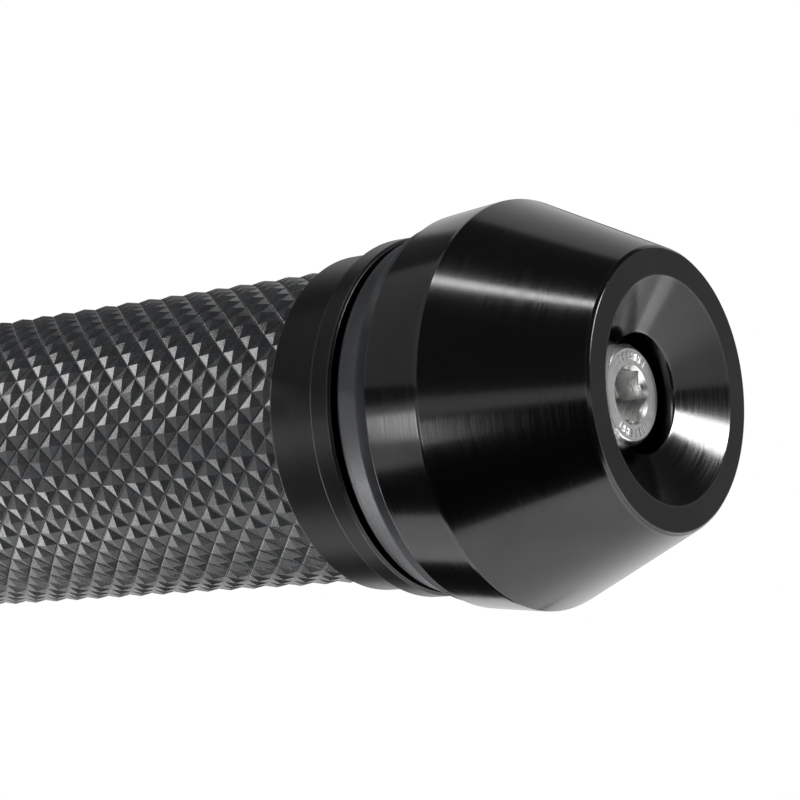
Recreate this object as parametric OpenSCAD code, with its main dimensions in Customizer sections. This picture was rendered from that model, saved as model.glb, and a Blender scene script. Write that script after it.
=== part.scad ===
// Bar end grip: a lock-on rubber grip for a straight handlebar, closed by a turned bar
// end weight that a three-jaw expander holds inside the bar.
//
// The bar's axis is X. The origin is the middle of the bore's inboard mouth, +X points
// outboard and +Z is up. Sizes are in millimetres.

/* [Handlebar] */
// Outside diameter of the handlebar
bar_outer_d = 22.2; // [18.5:0.1:27]
// Inside diameter of the handlebar's open end
bar_inner_d = 18; // [15:0.1:18.5]
// Gap round the bar where the grip holds it
bar_fit = 0.05; // [0.01:0.01:0.05]
// Gap round the bar past the stretch that holds it
bar_relief = 0.4; // [0.3:0.05:0.8]
// How far the bar stands out of the end collar
bar_proud = 0.4; // [0.2:0.1:1]

/* [Grip] */
// Length of the whole grip, from the lock ring's mouth to the end collar's face
grip_length = 130; // [100:1:160]
// Wall of the core sleeve
core_wall = 1.75; // [1.4:0.05:2.2]
// Thickness of the rubber over the core
rubber_thickness = 3.5; // [2.5:0.1:4.5]
// Height of the bead round the rubber's inboard end
bead_height = 0.6; // [0.2:0.1:1]
// Width of that bead
bead_width = 3.5; // [2:0.5:6]
// Rounding of the rubber's edges
rubber_edge = 0.4; // [0.2:0.1:0.6]

/* [End collar] */
// Length of the collar with its flange
collar_length = 8.6; // [7.2:0.1:11]
// Wall of the collar round the core
collar_wall = 4.45; // [3.5:0.05:5.5]
// Width of the flange
flange_width = 2.6; // [2:0.1:3.2]
// Height of the flange over the collar
flange_height = 1; // [0.5:0.1:1.5]
// Depth of the lip that covers the end of the core
collar_lip = 3.4; // [2.4:0.1:4]
// Chamfer of the collar's edges
collar_chamfer = 0.25; // [0.1:0.05:0.4]

/* [Lock ring] */
// Length of the lock ring
ring_length = 10; // [8.5:0.5:14]
// Wall of the lock ring
ring_wall = 5.4; // [4:0.1:6.5]
// Width of the slot that lets the ring close
ring_slot = 1.6; // [1:0.1:2.5]
// Chamfer of the ring's edges
ring_chamfer = 0.5; // [0.2:0.1:0.8]
// Gap between the lock ring and the rubber
ring_gap = 0.4; // [0.1:0.1:1]
// Wall between the bore and the lock screw's hole
lock_wall = 1.85; // [1.5:0.05:2.5]
// Wall below the lock screw's hole
lug_wall = 1.6; // [1.2:0.1:2.5]
// Chamfer of the lug's foot
lug_chamfer = 2.5; // [1.5:0.1:3]
// Wall between the bore and the pocket of the screw's head
pocket_wall = 1.2; // [1:0.1:1.4]
// Length of the core's two tabs in the lock ring
tab_length = 3; // [2:0.5:4]
// Angle that each tab covers
tab_angle = 30; // [20:1:40]

/* [End weight] */
// Length of the weight behind its face
weight_length = 21.9; // [19:0.1:27]
// Length of the cone between the face and the widest edge
cone_length = 15; // [12:0.5:17]
// Diameter of the front face
face_d = 28; // [24:0.5:34]
// Diameter of the widest edge
edge_d = 41; // [38:0.5:50]
// Diameter of the weight's rear edge
rear_d = 39.8; // [37:0.1:48]
// Diameter of the dish in the front face
dish_d = 22.2; // [17:0.1:23]
// Depth of the dish
dish_depth = 3.25; // [2:0.25:4]
// Gap round the screw head in the counterbore
counterbore_gap = 0.9; // [0.7:0.1:1.5]
// Chamfer of the weight's edges
weight_chamfer = 0.3; // [0.1:0.05:0.5]
// Width of the cushion ring
cushion_width = 4.9; // [4:0.1:6]
// Rounding of the cushion ring's edges
cushion_edge = 1.2; // [0.8:0.1:1.5]
// How far the cushion ring stays below the weight's rear edge
cushion_drop = 0.5; // [0.3:0.1:1]
// Width of the seat that the weight has round the bar's end
seat_lip = 0.9; // [0.5:0.1:2]

/* [Screws] */
// Diameter of the centre screw
screw_d = 6; // [5:0.1:7.2]
// Pitch of the centre screw
screw_pitch = 1; // [0.8:0.05:1.25]
// Diameter of the centre screw's head
head_d = 10; // [8.5:0.1:12]
// Height of the centre screw's head
head_height = 6; // [5:0.1:7.2]
// Depth of the head's top below the weight's face
head_depth = 4.4; // [3.8:0.1:5.2]
// Width of the centre screw's socket across its flats
socket_width = 5; // [4:0.5:6]
// Depth of that socket
socket_depth = 3.2; // [2.5:0.1:4]
// Thickness of the plain washer under the head
washer_thickness = 1.6; // [1:0.1:2]
// Thickness of the spring washer under the head
spring_washer_thickness = 1.5; // [1:0.1:2]
// Width of the nut across its flats
nut_width = 10; // [8.5:0.1:10.5]
// Height of the nut
nut_height = 5; // [4.2:0.1:6]
// Diameter of the lock ring's screw
lock_screw_d = 4; // [3.3:0.1:4.2]
// Length of that screw under its head
lock_screw_length = 12; // [10:0.5:16]
// Diameter of the lock screw's head
lock_head_d = 7; // [6:0.1:7.4]
// Height of the lock screw's head
lock_head_height = 4; // [3:0.1:4.8]
// Diameter of the end collar's two grub screws
grub_d = 3; // [2.5:0.1:3.6]
// Depth of the grub screws below the collar's surface
grub_sink = 0.4; // [0:0.1:1]

/* [Expander] */
// Length of the three jaws
jaw_length = 19; // [15.5:0.5:23]
// Slope of the ramps that spread the jaws, in degrees
ramp_angle = 12; // [10:0.5:14.5]
// Gap between neighbouring jaws
jaw_gap = 1.2; // [1:0.1:2]
// Space between the two wedges
wedge_space = 4; // [3.3:0.1:6]
// Length of the front wedge's round base
front_base = 2; // [1.5:0.1:3]
// Length of the rear wedge's round base
rear_base = 4; // [3.3:0.1:5]
// Least wall of a wedge round the centre screw
wedge_wall = 1.05; // [0.8:0.05:1.5]
// Length of the centring bush inside the bar
bush_length = 6; // [5:0.5:9]
// Length of the bush's spigot inside the weight
bush_spigot_length = 3.8; // [3:0.1:4.5]
// Wall of that spigot
bush_spigot_wall = 2.7; // [2:0.1:3]
// Thickness of the elastic bands that hold the jaws together
band_thickness = 1.3; // [1:0.1:1.6]
// Distance of each band from the middle of the jaws
band_offset = 4; // [3.3:0.1:5]
// Turns that the centre screw is undone to free the jaws
loose_turns = 4; // [2:1:4]
// Turns that the centre screw can still be tightened
tight_turns = 2; // [1:1:2]
// Length of screw left past the nut when the jaws are free
screw_tail = 0.6; // [0.5:0.1:3]
// Room in the bore past the end of the centre screw
expander_room = 2.8; // [2.3:0.1:6]

/* [Hidden] */
// Gap of the parts that slide or turn in each other
slide_gap = 0.05;
// Gap round the centre screw in plain holes
screw_gap = 0.25;
// Gap of the loose parts that go into the bar's end
bar_gap = 0.2;
// Room between parts of the expander that never touch
clear_gap = 0.3;
// Extra length of a cutting shape past the face it cuts
cut = 1;
// Straight pieces in each rounded edge
edge_steps = 4;
$fn = 96;

// Radii round the handlebar, from the bore outwards
bar_r = bar_outer_d / 2;
bore_r = bar_r + bar_fit;
relief_r = bar_r + bar_relief;
core_r = bore_r + core_wall;
rubber_r = core_r + rubber_thickness;
collar_r = core_r + slide_gap + collar_wall;
flange_r = collar_r + flange_height;

// Places along the bar
collar_start = grip_length - collar_length;
flange_start = grip_length - flange_width;
core_end = grip_length - collar_lip;
seat_x = grip_length + bar_proud;
weight_rear = seat_x + cushion_width;
face_x = weight_rear + weight_length;
edge_x = face_x - cone_length;

// The centre screw and what lies under its head
screw_r = screw_d / 2;
screw_hole_r = screw_r + screw_gap;
head_top = face_x - head_depth;
head_seat = head_top - head_height;
counterbore_r = head_d / 2 + counterbore_gap;
washer_r = counterbore_r - 0.4;
washer_x = head_seat - slide_gap - washer_thickness;
spring_washer_x = washer_x - spring_washer_thickness;

// The expander, with the middle of its jaws at jaw_middle
jaw_r = bar_inner_d / 2;
wedge_r = jaw_r - 2 * bar_gap;
bush_r = jaw_r - bar_gap;
bush_spigot_r = screw_hole_r + bush_spigot_wall;
jaw_half = jaw_length / 2;
ramp_reach = jaw_half + tight_turns * screw_pitch / 2 + bar_gap + clear_gap;
jaw_middle = seat_x - bush_length - front_base - ramp_reach;
ramp_slope = tan(ramp_angle);
ramp_tip = screw_hole_r + wedge_wall;
ramp_gap = slide_gap / cos(ramp_angle);
retreat = loose_turns * screw_pitch / 2;
band_r = jaw_r - slide_gap - band_thickness / 2;
band_floor_r = band_r - band_thickness / 2 - slide_gap;
ramp_r = band_floor_r - retreat * ramp_slope - clear_gap;
wedge_end = jaw_middle - ramp_reach - rear_base;
screw_end = wedge_end - loose_turns * screw_pitch - screw_tail;
grip_bore_end = screw_end - expander_room;

// The lock ring's screw crosses the slot below the bar
ring_r = bore_r + ring_wall;
lock_screw_r = lock_screw_d / 2;
lock_pocket_r = lock_head_d / 2 + screw_gap;
lock_screw_drop = bore_r + lock_wall + lock_screw_r;
lock_x = ring_length / 2;
lock_seat = sqrt(pow(bore_r + pocket_wall, 2) - pow(lock_screw_drop - lock_pocket_r, 2));
lug_bottom = lock_screw_drop + lock_screw_r + lug_wall;
lug_half = lock_screw_length - lock_seat + lug_wall;
lug_foot = lug_half - lug_chamfer;

// The end collar's grub screws are on the +Y side
grub_angles = [60, 120];
grub_x = (collar_start + core_end) / 2;

// A solid turned about the bar's axis; its outline is a list of [radius, x]
module turned(outline) {
    rotate([0, 90, 0])
        rotate_extrude()
            polygon(outline);
}

// A round bar on the axis between two places
module rod(radius, from, to) {
    translate([from, 0, 0])
        rotate([0, 90, 0])
            cylinder(r = radius, h = to - from);
}

// A hexagonal bar on the axis, with flats facing up and down
module hexagon_bar(width, from, to) {
    translate([from, 0, 0])
        rotate([30, 0, 0])
            rotate([0, 90, 0])
                cylinder(r = width / 2 / cos(30), h = to - from, $fn = 6);
}

// A prism across the bar's axis whose section is a list of [x, z]
module across(section, half_width) {
    translate([0, half_width, 0])
        rotate([90, 0, 0])
            linear_extrude(height = 2 * half_width)
                polygon(section);
}

// Points of a quarter turn round a corner, from its -X side to its outer side, in [radius, x]
function rounded(radius, x, size) = [
    for (step = [0 : edge_steps])
        let (angle = -90 + 90 * step / edge_steps)
        [radius + size * cos(angle), x + size * sin(angle)]
];

// ---- Grip -------------------------------------------------------------------------

module grip_rubber() {
    start = ring_length + ring_gap;
    bead_r = rubber_r + bead_height;
    bead_end = start + bead_width;
    color([0.15, 0.15, 0.17])
        turned(concat(
            [[core_r, start]],
            rounded(bead_r - rubber_edge, start + rubber_edge, rubber_edge),
            [
                [bead_r, bead_end - bead_height],
                [rubber_r, bead_end],
                [rubber_r, collar_start],
                [core_r, collar_start]
            ]
        ));
}

// One of the two tabs that key the core to the lock ring
module core_tab(radius, gap) {
    spread = tab_angle / 2;
    side = 2 * radius * sin(spread);
    top = 2 * radius * cos(spread);
    intersection() {
        difference() {
            rod(radius + gap, ring_length - tab_length - gap, ring_length + cut);
            rod(bore_r, 0, ring_length + 2 * cut);
        }
        translate([0, 0, -gap / sin(spread)])
            rotate([90, 0, 90])
                linear_extrude(height = ring_length + 2 * cut)
                    polygon([[0, 0], [side, top], [-side, top]]);
    }
}

module both_tabs(radius, gap) {
    for (side = [-90, 90])
        rotate([side, 0, 0])
            core_tab(radius, gap);
}

module core_sleeve() {
    color([0.2, 0.2, 0.2])
        difference() {
            union() {
                rod(core_r, ring_length, core_end);
                both_tabs(core_r, 0);
            }
            rod(bore_r, ring_length - cut, grip_bore_end + cut);
            rod(relief_r, grip_bore_end, core_end + cut);
        }
}

module end_collar() {
    edge = collar_chamfer;
    color([0.16, 0.16, 0.17])
        difference() {
            turned([
                [relief_r, core_end],
                [core_r + slide_gap, core_end],
                [core_r + slide_gap, collar_start],
                [collar_r - edge, collar_start],
                [collar_r, collar_start + edge],
                [collar_r, flange_start],
                [flange_r - edge, flange_start],
                [flange_r, flange_start + edge],
                [flange_r, grip_length - edge],
                [flange_r - edge, grip_length],
                [relief_r, grip_length]
            ]);
            grub_shapes(grub_d / 2 + slide_gap, core_r, collar_r + cut);
        }
}

// Two short round bars that point out from the axis
module grub_shapes(radius, from, to) {
    for (angle = grub_angles)
        rotate([angle - 90, 0, 0])
            translate([grub_x, from, 0])
                rotate([-90, 0, 0])
                    cylinder(r = radius, h = to - from);
}

module collar_grub_screws() {
    key_depth = 1.5;
    key_width = grub_d / 2;
    outer = collar_r - grub_sink;
    inner = core_r + slide_gap;
    color([0.22, 0.22, 0.23])
        difference() {
            grub_shapes(grub_d / 2, inner, outer);
            for (angle = grub_angles)
                rotate([angle - 90, 0, 0])
                    translate([grub_x, outer - key_depth, 0])
                        rotate([-90, 0, 0])
                            cylinder(r = key_width / 2 / cos(30), h = key_depth + cut, $fn = 6);
        }
}

// ---- Lock ring --------------------------------------------------------------------

// A round bar along the lock screw's line, between two places across the bar
module lock_rod(radius, from, to) {
    translate([lock_x, from, -lock_screw_drop])
        rotate([-90, 0, 0])
            cylinder(r = radius, h = to - from);
}

module lock_ring() {
    edge = ring_chamfer;
    color([0.16, 0.16, 0.17])
        difference() {
            union() {
                turned([
                    [bore_r, 0],
                    [ring_r - edge, 0],
                    [ring_r, edge],
                    [ring_r, ring_length - edge],
                    [ring_r - edge, ring_length],
                    [bore_r, ring_length]
                ]);
                translate([edge, 0, 0])
                    rotate([90, 0, 90])
                        linear_extrude(height = ring_length - 2 * edge)
                            polygon([
                                [-ring_r + edge, 0],
                                [-lug_half, -lock_screw_drop],
                                [-lug_foot, -lug_bottom],
                                [lug_foot, -lug_bottom],
                                [lug_half, -lock_screw_drop],
                                [ring_r - edge, 0]
                            ]);
            }
            rod(bore_r, -cut, ring_length + cut);
            translate([-cut, -ring_slot / 2, -lug_bottom - cut])
                cube([ring_length + 2 * cut, ring_slot, lug_bottom]);
            both_tabs(core_r, slide_gap);
            lock_rod(lock_screw_r + slide_gap, -lug_half - cut, lug_half);
            lock_rod(lock_pocket_r, lock_seat, lug_half + ring_r);
        }
}

module lock_screw() {
    key_width = 3;
    key_depth = 2;
    top = lock_seat + slide_gap + lock_head_height;
    color([0.2, 0.2, 0.21])
        difference() {
            union() {
                lock_rod(lock_screw_r, lock_seat - lock_screw_length, top - cut);
                lock_rod(lock_head_d / 2, lock_seat + slide_gap, top);
            }
            translate([lock_x, top - key_depth, -lock_screw_drop])
                rotate([-90, 0, 0])
                    cylinder(r = key_width / 2 / cos(30), h = key_depth + cut, $fn = 6);
        }
}

// ---- Bar end weight ---------------------------------------------------------------

module end_weight() {
    edge = weight_chamfer;
    spigot_r = bar_r + seat_lip;
    socket_floor = seat_x + bush_spigot_length + 2 * slide_gap;
    color([0.1, 0.1, 0.11])
        difference() {
            turned([
                [screw_hole_r, seat_x],
                [spigot_r, seat_x],
                [spigot_r, weight_rear],
                [rear_d / 2 - edge, weight_rear],
                [rear_d / 2, weight_rear + edge],
                [edge_d / 2, edge_x - edge / 2],
                [edge_d / 2, edge_x + edge / 2],
                [face_d / 2, face_x - edge],
                [face_d / 2 - edge, face_x],
                [dish_d / 2, face_x],
                [counterbore_r, face_x - dish_depth],
                [counterbore_r, spring_washer_x],
                [screw_hole_r, spring_washer_x]
            ]);
            rod(bush_spigot_r + slide_gap, seat_x - cut, socket_floor);
        }
}

module cushion_ring() {
    inner = bar_r + seat_lip + slide_gap;
    rim_r = flange_r - slide_gap;
    crown_r = rear_d / 2 - cushion_drop;
    bevel = cushion_edge / 3;
    color([0.42, 0.44, 0.47])
        turned(concat(
            [[inner, seat_x]],
            rounded(rim_r - cushion_edge, seat_x + cushion_edge, cushion_edge),
            [
                [crown_r, weight_rear - cushion_edge],
                [crown_r - bevel, weight_rear - bevel],
                [crown_r - 2 * bevel, weight_rear],
                [inner, weight_rear]
            ]
        ));
}

module cap_screw() {
    edge = 0.5;
    head_r = head_d / 2;
    color([0.75, 0.75, 0.76])
        difference() {
            turned([
                [0, screw_end],
                [screw_r - edge, screw_end],
                [screw_r, screw_end + edge],
                [screw_r, head_seat],
                [head_r, head_seat],
                [head_r, head_top - edge],
                [head_r - edge, head_top],
                [0, head_top]
            ]);
            hexagon_bar(socket_width, head_top - socket_depth, head_top + cut);
        }
}

module head_washer() {
    color([0.7, 0.7, 0.71])
        difference() {
            rod(washer_r, washer_x, washer_x + washer_thickness);
            rod(screw_hole_r, washer_x - cut, washer_x + washer_thickness + cut);
        }
}

// A spring washer, cut through at one place
module spring_washer() {
    opening = 1.5;
    top = spring_washer_x + spring_washer_thickness;
    color([0.6, 0.6, 0.61])
        difference() {
            rod(washer_r - bar_gap, spring_washer_x, top);
            rod(screw_hole_r, spring_washer_x - cut, top + cut);
            translate([spring_washer_x - cut, -opening / 2, 0])
                cube([spring_washer_thickness + 2 * cut, opening, head_d]);
        }
}

// ---- Expander ---------------------------------------------------------------------

module centring_bush() {
    start = seat_x - bush_length;
    color([0.85, 0.83, 0.78])
        difference() {
            union() {
                rod(bush_r, start, seat_x);
                rod(bush_spigot_r, start, seat_x + bush_spigot_length);
            }
            rod(screw_hole_r, start - cut, seat_x + bush_spigot_length + cut);
        }
}

// Height of a ramp at a distance from the jaws' middle
function ramp_height(distance) = ramp_tip + (distance - wedge_space / 2) * ramp_slope;

// A wedge whose three flat ramps rise away from the jaws' middle, towards +X
module wedge_body(base) {
    tip = wedge_space / 2;
    end = ramp_reach + base;
    rod(wedge_r, ramp_reach, end);
    intersection() {
        rod(ramp_r, tip, end);
        intersection_for (turn = [0 : 2])
            rotate([120 * turn, 0, 0])
                across([
                    [tip, -wedge_r],
                    [tip, ramp_height(tip)],
                    [end, ramp_height(end)],
                    [end, -wedge_r]
                ], wedge_r);
    }
}

module front_wedge() {
    color([0.72, 0.72, 0.73])
        translate([jaw_middle, 0, 0])
            difference() {
                wedge_body(front_base);
                rod(screw_hole_r, 0, ramp_reach + front_base + cut);
            }
}

module rear_wedge() {
    end = ramp_reach + rear_base;
    color([0.72, 0.72, 0.73])
        translate([jaw_middle, 0, 0])
            mirror([1, 0, 0])
                difference() {
                    wedge_body(rear_base);
                    rod(screw_hole_r, 0, end + cut);
                    hexagon_bar(nut_width + 2 * slide_gap, end - nut_height, end + cut);
                }
}

module wedge_nut() {
    color([0.65, 0.65, 0.66])
        difference() {
            hexagon_bar(nut_width, wedge_end, wedge_end + nut_height);
            rod(screw_r + slide_gap, wedge_end - cut, wedge_end + nut_height + cut);
        }
}

// The ring-shaped space round the jaws for one elastic band
module band_groove(distance) {
    half_width = band_thickness / 2 + bar_gap;
    turned([
        [band_floor_r, distance - half_width],
        [jaw_r + cut, distance - half_width],
        [jaw_r + cut, distance + half_width],
        [band_floor_r, distance + half_width]
    ]);
}

// One third of the expanding sleeve, on the +Z side
module jaw_body() {
    reach = 2 * jaw_r;
    side = reach * sin(60);
    shoulder = reach * cos(60);
    edge = jaw_gap / 2 / sin(60);
    difference() {
        intersection() {
            rod(jaw_r, -jaw_half, jaw_half);
            across([
                [-jaw_half, ramp_height(jaw_half) + ramp_gap],
                [0, ramp_height(0) + ramp_gap],
                [jaw_half, ramp_height(jaw_half) + ramp_gap],
                [jaw_half, reach],
                [-jaw_half, reach]
            ], reach);
            translate([-jaw_half - cut, 0, edge])
                rotate([90, 0, 90])
                    linear_extrude(height = jaw_length + 2 * cut)
                        polygon([[0, 0], [side, shoulder], [side, reach], [-side, reach], [-side, shoulder]]);
        }
        rod(screw_hole_r + retreat * ramp_slope, -jaw_half - cut, jaw_half + cut);
        band_groove(-band_offset);
        band_groove(band_offset);
    }
}

module jaw(turn) {
    color([0.78, 0.78, 0.79])
        translate([jaw_middle, 0, 0])
            rotate([120 * turn, 0, 0])
                jaw_body();
}

module jaw_1() {
    jaw(0);
}

module jaw_2() {
    jaw(1);
}

module jaw_3() {
    jaw(2);
}

module band(distance) {
    color([0.12, 0.12, 0.12])
        translate([jaw_middle + distance, 0, 0])
            rotate([0, 90, 0])
                rotate_extrude()
                    translate([band_r, 0])
                        circle(r = band_thickness / 2, $fn = 24);
}

module front_band() {
    band(band_offset);
}

module rear_band() {
    band(-band_offset);
}

grip_rubber();
core_sleeve();
end_collar();
collar_grub_screws();
lock_ring();
lock_screw();
end_weight();
cushion_ring();
cap_screw();
head_washer();
spring_washer();
centring_bush();
front_wedge();
rear_wedge();
wedge_nut();
jaw_1();
jaw_2();
jaw_3();
front_band();
rear_band();
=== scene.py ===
"""Looks of a bar end grip: a lock-on rubber grip with a turned weight in the bar's open end.

The bar's axis is X, +X is outboard and +Z is up. Lengths are in metres; MM turns millimetres
into them. Outlines are lists of (place along the bar, radius, wear), where wear is 1 on the
rounded edges that rub bright and 0 elsewhere.
"""

import math

import bmesh
import bpy
from mathutils import Matrix, Vector


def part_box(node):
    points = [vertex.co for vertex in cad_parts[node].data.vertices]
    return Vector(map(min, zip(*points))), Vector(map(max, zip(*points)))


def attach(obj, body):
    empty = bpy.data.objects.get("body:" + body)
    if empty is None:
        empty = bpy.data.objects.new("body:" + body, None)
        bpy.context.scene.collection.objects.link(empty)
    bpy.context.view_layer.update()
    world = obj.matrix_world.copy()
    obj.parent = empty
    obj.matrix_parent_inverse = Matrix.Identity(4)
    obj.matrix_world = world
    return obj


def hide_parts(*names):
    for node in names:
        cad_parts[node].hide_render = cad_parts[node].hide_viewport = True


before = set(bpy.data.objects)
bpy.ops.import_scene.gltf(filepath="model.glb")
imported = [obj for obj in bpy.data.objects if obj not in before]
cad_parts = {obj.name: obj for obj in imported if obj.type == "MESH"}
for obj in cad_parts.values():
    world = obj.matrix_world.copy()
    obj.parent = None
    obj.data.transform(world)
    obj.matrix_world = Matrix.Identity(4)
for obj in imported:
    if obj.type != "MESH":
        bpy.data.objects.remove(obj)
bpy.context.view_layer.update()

MM = 0.001
TURN = 2 * math.pi

# Segments round a turned piece: a multiple of 36 flutes and of 6 flats
SEGMENTS = 144
# Faces that meet at less than this are shaded as one smooth surface
SMOOTH_ANGLE = math.radians(24)


# ---- Outlines taken from the frame ---------------------------------------------------

def ring_key(point):
    """A ring's place and radius, in hundredths of a millimetre, so that equal rings compare equal."""
    return (round(point.x / MM * 100), round(math.hypot(point.y, point.z) / MM * 100))


def outline_of(node):
    """The closed outline of a turned node, as (x, radius) corners in order round the section."""
    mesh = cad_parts[node].data
    keys = [ring_key(vertex.co) for vertex in mesh.vertices]
    whole = {key for key in set(keys) if keys.count(key) >= SEGMENTS / 6}
    beside = {key: set() for key in whole}
    for edge in mesh.edges:
        one, two = (keys[index] for index in edge.vertices)
        if one != two and one in whole and two in whole:
            beside[one].add(two)
            beside[two].add(one)
    path = [min(whole)]
    while True:
        following = sorted(beside[path[-1]] - set(path))
        if not following:
            break
        path.append(following[0])
    corners = [Vector(key) * MM / 100 for key in path]
    return [corner for corner, turn in zip(corners, corner_turns(corners)) if turn > math.radians(1)]


def corner_turns(corners):
    """How far a closed outline turns at each of its corners."""
    turns = []
    for index, corner in enumerate(corners):
        arriving = corner - corners[index - 1]
        leaving = corners[(index + 1) % len(corners)] - corner
        turns.append(arriving.angle(leaving))
    return turns


def rounded(corners, radius, steps=4, hold=0.2 * MM):
    """A closed outline with its corners rounded, and a point beyond each arc that keeps the sides flat."""
    outline = []
    for index, (corner, turn) in enumerate(zip(corners, corner_turns(corners))):
        back = corners[index - 1] - corner
        ahead = corners[(index + 1) % len(corners)] - corner
        reach = min(radius * math.tan(turn / 2), 0.3 * back.length, 0.3 * ahead.length)
        held = min(reach + hold, 0.45 * back.length, 0.45 * ahead.length)
        start = corner + back.normalized() * reach
        end = corner + ahead.normalized() * reach
        outline.append((*(corner + back.normalized() * held), 0))
        for step in range(steps + 1):
            share = step / steps
            on_arc = start.lerp(corner, share).lerp(corner.lerp(end, share), share)
            outline.append((*on_arc, 1))
        outline.append((*(corner + ahead.normalized() * held), 0))
    return outline


# ---- Meshes --------------------------------------------------------------------------

def turned(rings, segments=SEGMENTS, closed=True):
    """A skin through rings about X. A ring is (x, radius, wear), or a function from an angle to that."""
    mesh = bmesh.new()
    wear_layer = mesh.verts.layers.float.new("wear")
    loops = []
    for ring in rings:
        loop = []
        for index in range(segments):
            angle = TURN * index / segments
            x, radius, wear = ring(angle) if callable(ring) else ring
            vertex = mesh.verts.new((x, -radius * math.cos(angle), radius * math.sin(angle)))
            vertex[wear_layer] = wear
            loop.append(vertex)
            if radius == 0:
                break
        loops.append(loop)
    if closed:
        loops.append(loops[0])
    for one, two in zip(loops, loops[1:]):
        bridge(mesh, one, two)
    return mesh


def bridge(mesh, one, two):
    """Faces between two rings of vertices, either of which may be a single pole."""
    count = max(len(one), len(two))
    for index in range(count):
        following = (index + 1) % count
        near = [one[place % len(one)] for place in (index, following)]
        far = [two[place % len(two)] for place in (following, index)]
        unique = list(dict.fromkeys(near + far))
        if len(unique) > 2:
            mesh.faces.new(unique)


def merged(meshes):
    """One mesh of several closed shells."""
    whole = bmesh.new()
    whole.verts.layers.float.new("wear")
    for mesh in meshes:
        data = bpy.data.meshes.new("shell")
        mesh.to_mesh(data)
        mesh.free()
        whole.from_mesh(data)
        bpy.data.meshes.remove(data)
    return whole


def softened(node, width, angle=math.radians(28)):
    """A node's own shape with its sharp edges broken by a narrow bevel."""
    mesh = bmesh.new()
    mesh.from_mesh(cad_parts[node].data)
    bmesh.ops.remove_doubles(mesh, verts=mesh.verts, dist=0.002 * MM)
    bmesh.ops.dissolve_limit(mesh, angle_limit=math.radians(0.5), verts=mesh.verts, edges=mesh.edges)
    sharp = [edge for edge in mesh.edges if edge.is_manifold and edge.calc_face_angle() > angle]
    bmesh.ops.bevel(
        mesh, geom=sharp, offset=width, segments=2, profile=0.5, affect="EDGES", clamp_overlap=True,
    )
    return mesh


def helper(mesh):
    """A short-lived object with the mesh, for a modifier or a geometry tree to work with."""
    data = bpy.data.meshes.new("helper")
    mesh.to_mesh(data)
    mesh.free()
    host = bpy.data.objects.new("helper", data)
    bpy.context.scene.collection.objects.link(host)
    return host


def outcome(host, modifier):
    """The mesh that a helper's modifier makes. The helper goes."""
    bpy.context.view_layer.update()
    evaluated = host.evaluated_get(bpy.context.evaluated_depsgraph_get())
    data = bpy.data.meshes.new_from_object(evaluated)
    host.modifiers.remove(modifier)
    bpy.data.objects.remove(host)
    mesh = bmesh.new()
    mesh.from_mesh(data)
    bpy.data.meshes.remove(data)
    return mesh


def drilled(mesh, drill):
    """The mesh with the shape of a drill taken out of it."""
    host = helper(mesh)
    cutter = helper(drill)
    modifier = host.modifiers.new("drill", "BOOLEAN")
    modifier.operation = "DIFFERENCE"
    modifier.solver = "EXACT"
    modifier.object = cutter
    result = outcome(host, modifier)
    bpy.data.objects.remove(cutter)
    return result


def add_piece(name, mesh, material, body, slot, *nodes, smooth_angle=SMOOTH_ANGLE):
    """Makes the piece from its mesh, with its faces outwards, and puts it in the place of its nodes."""
    bmesh.ops.remove_doubles(mesh, verts=mesh.verts, dist=0.0005 * MM)
    bmesh.ops.recalc_face_normals(mesh, faces=mesh.faces)
    data = bpy.data.meshes.new(name)
    mesh.to_mesh(data)
    mesh.free()
    data.polygons.foreach_set("use_smooth", [True] * len(data.polygons))
    data.set_sharp_from_angle(angle=smooth_angle)
    data.materials.append(material)
    piece = bpy.data.objects.new(name, data)
    bpy.context.scene.collection.objects.link(piece)
    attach(piece, body)
    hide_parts(*nodes)


# ---- Node trees ----------------------------------------------------------------------

def add(tree, kind, inputs=(), **settings):
    """Adds a node with its settings. An input is a value, a socket, or a node, for its first output."""
    node = tree.nodes.new(kind)
    for setting, value in settings.items():
        setattr(node, setting, value)
    for key, value in dict(inputs).items():
        if isinstance(value, bpy.types.Node):
            value = value.outputs[0]
        if isinstance(value, bpy.types.NodeSocket):
            tree.links.new(value, node.inputs[key])
        else:
            node.inputs[key].default_value = value
    return node


def linear(hex_colour):
    """An sRGB hex colour as linear red, green, blue and alpha."""
    channels = [int(hex_colour[place:place + 2], 16) / 255 for place in (1, 3, 5)]
    return (*[c / 12.92 if c < 0.04045 else ((c + 0.055) / 1.055) ** 2.4 for c in channels], 1)


def new_tree(name, sockets):
    """A geometry tree with the named inputs, and the outputs of the node that gives them."""
    tree = bpy.data.node_groups.new(name, "GeometryNodeTree")
    for socket, kind in sockets.items():
        tree.interface.new_socket(socket, in_out="INPUT", socket_type="NodeSocket" + kind)
    tree.interface.new_socket("Geometry", in_out="OUTPUT", socket_type="NodeSocketGeometry")
    return tree, add(tree, "NodeGroupInput").outputs


def end_tree(tree, geometry, material):
    """Ends a geometry tree in realised instances with their material."""
    real = add(tree, "GeometryNodeRealizeInstances", {"Geometry": geometry})
    finished = add(tree, "GeometryNodeSetMaterial", {"Geometry": real, "Material": material})
    add(tree, "NodeGroupOutput", {"Geometry": finished})


def grown(tree, values):
    """The mesh that a geometry tree makes from the values of its named inputs."""
    host = helper(bmesh.new())
    modifier = host.modifiers.new("grow", "NODES")
    modifier.node_group = tree
    for item in tree.interface.items_tree:
        if item.in_out == "INPUT":
            modifier[item.identifier] = values[item.name]
    return outcome(host, modifier)


# ---- Finishes ------------------------------------------------------------------------

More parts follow.
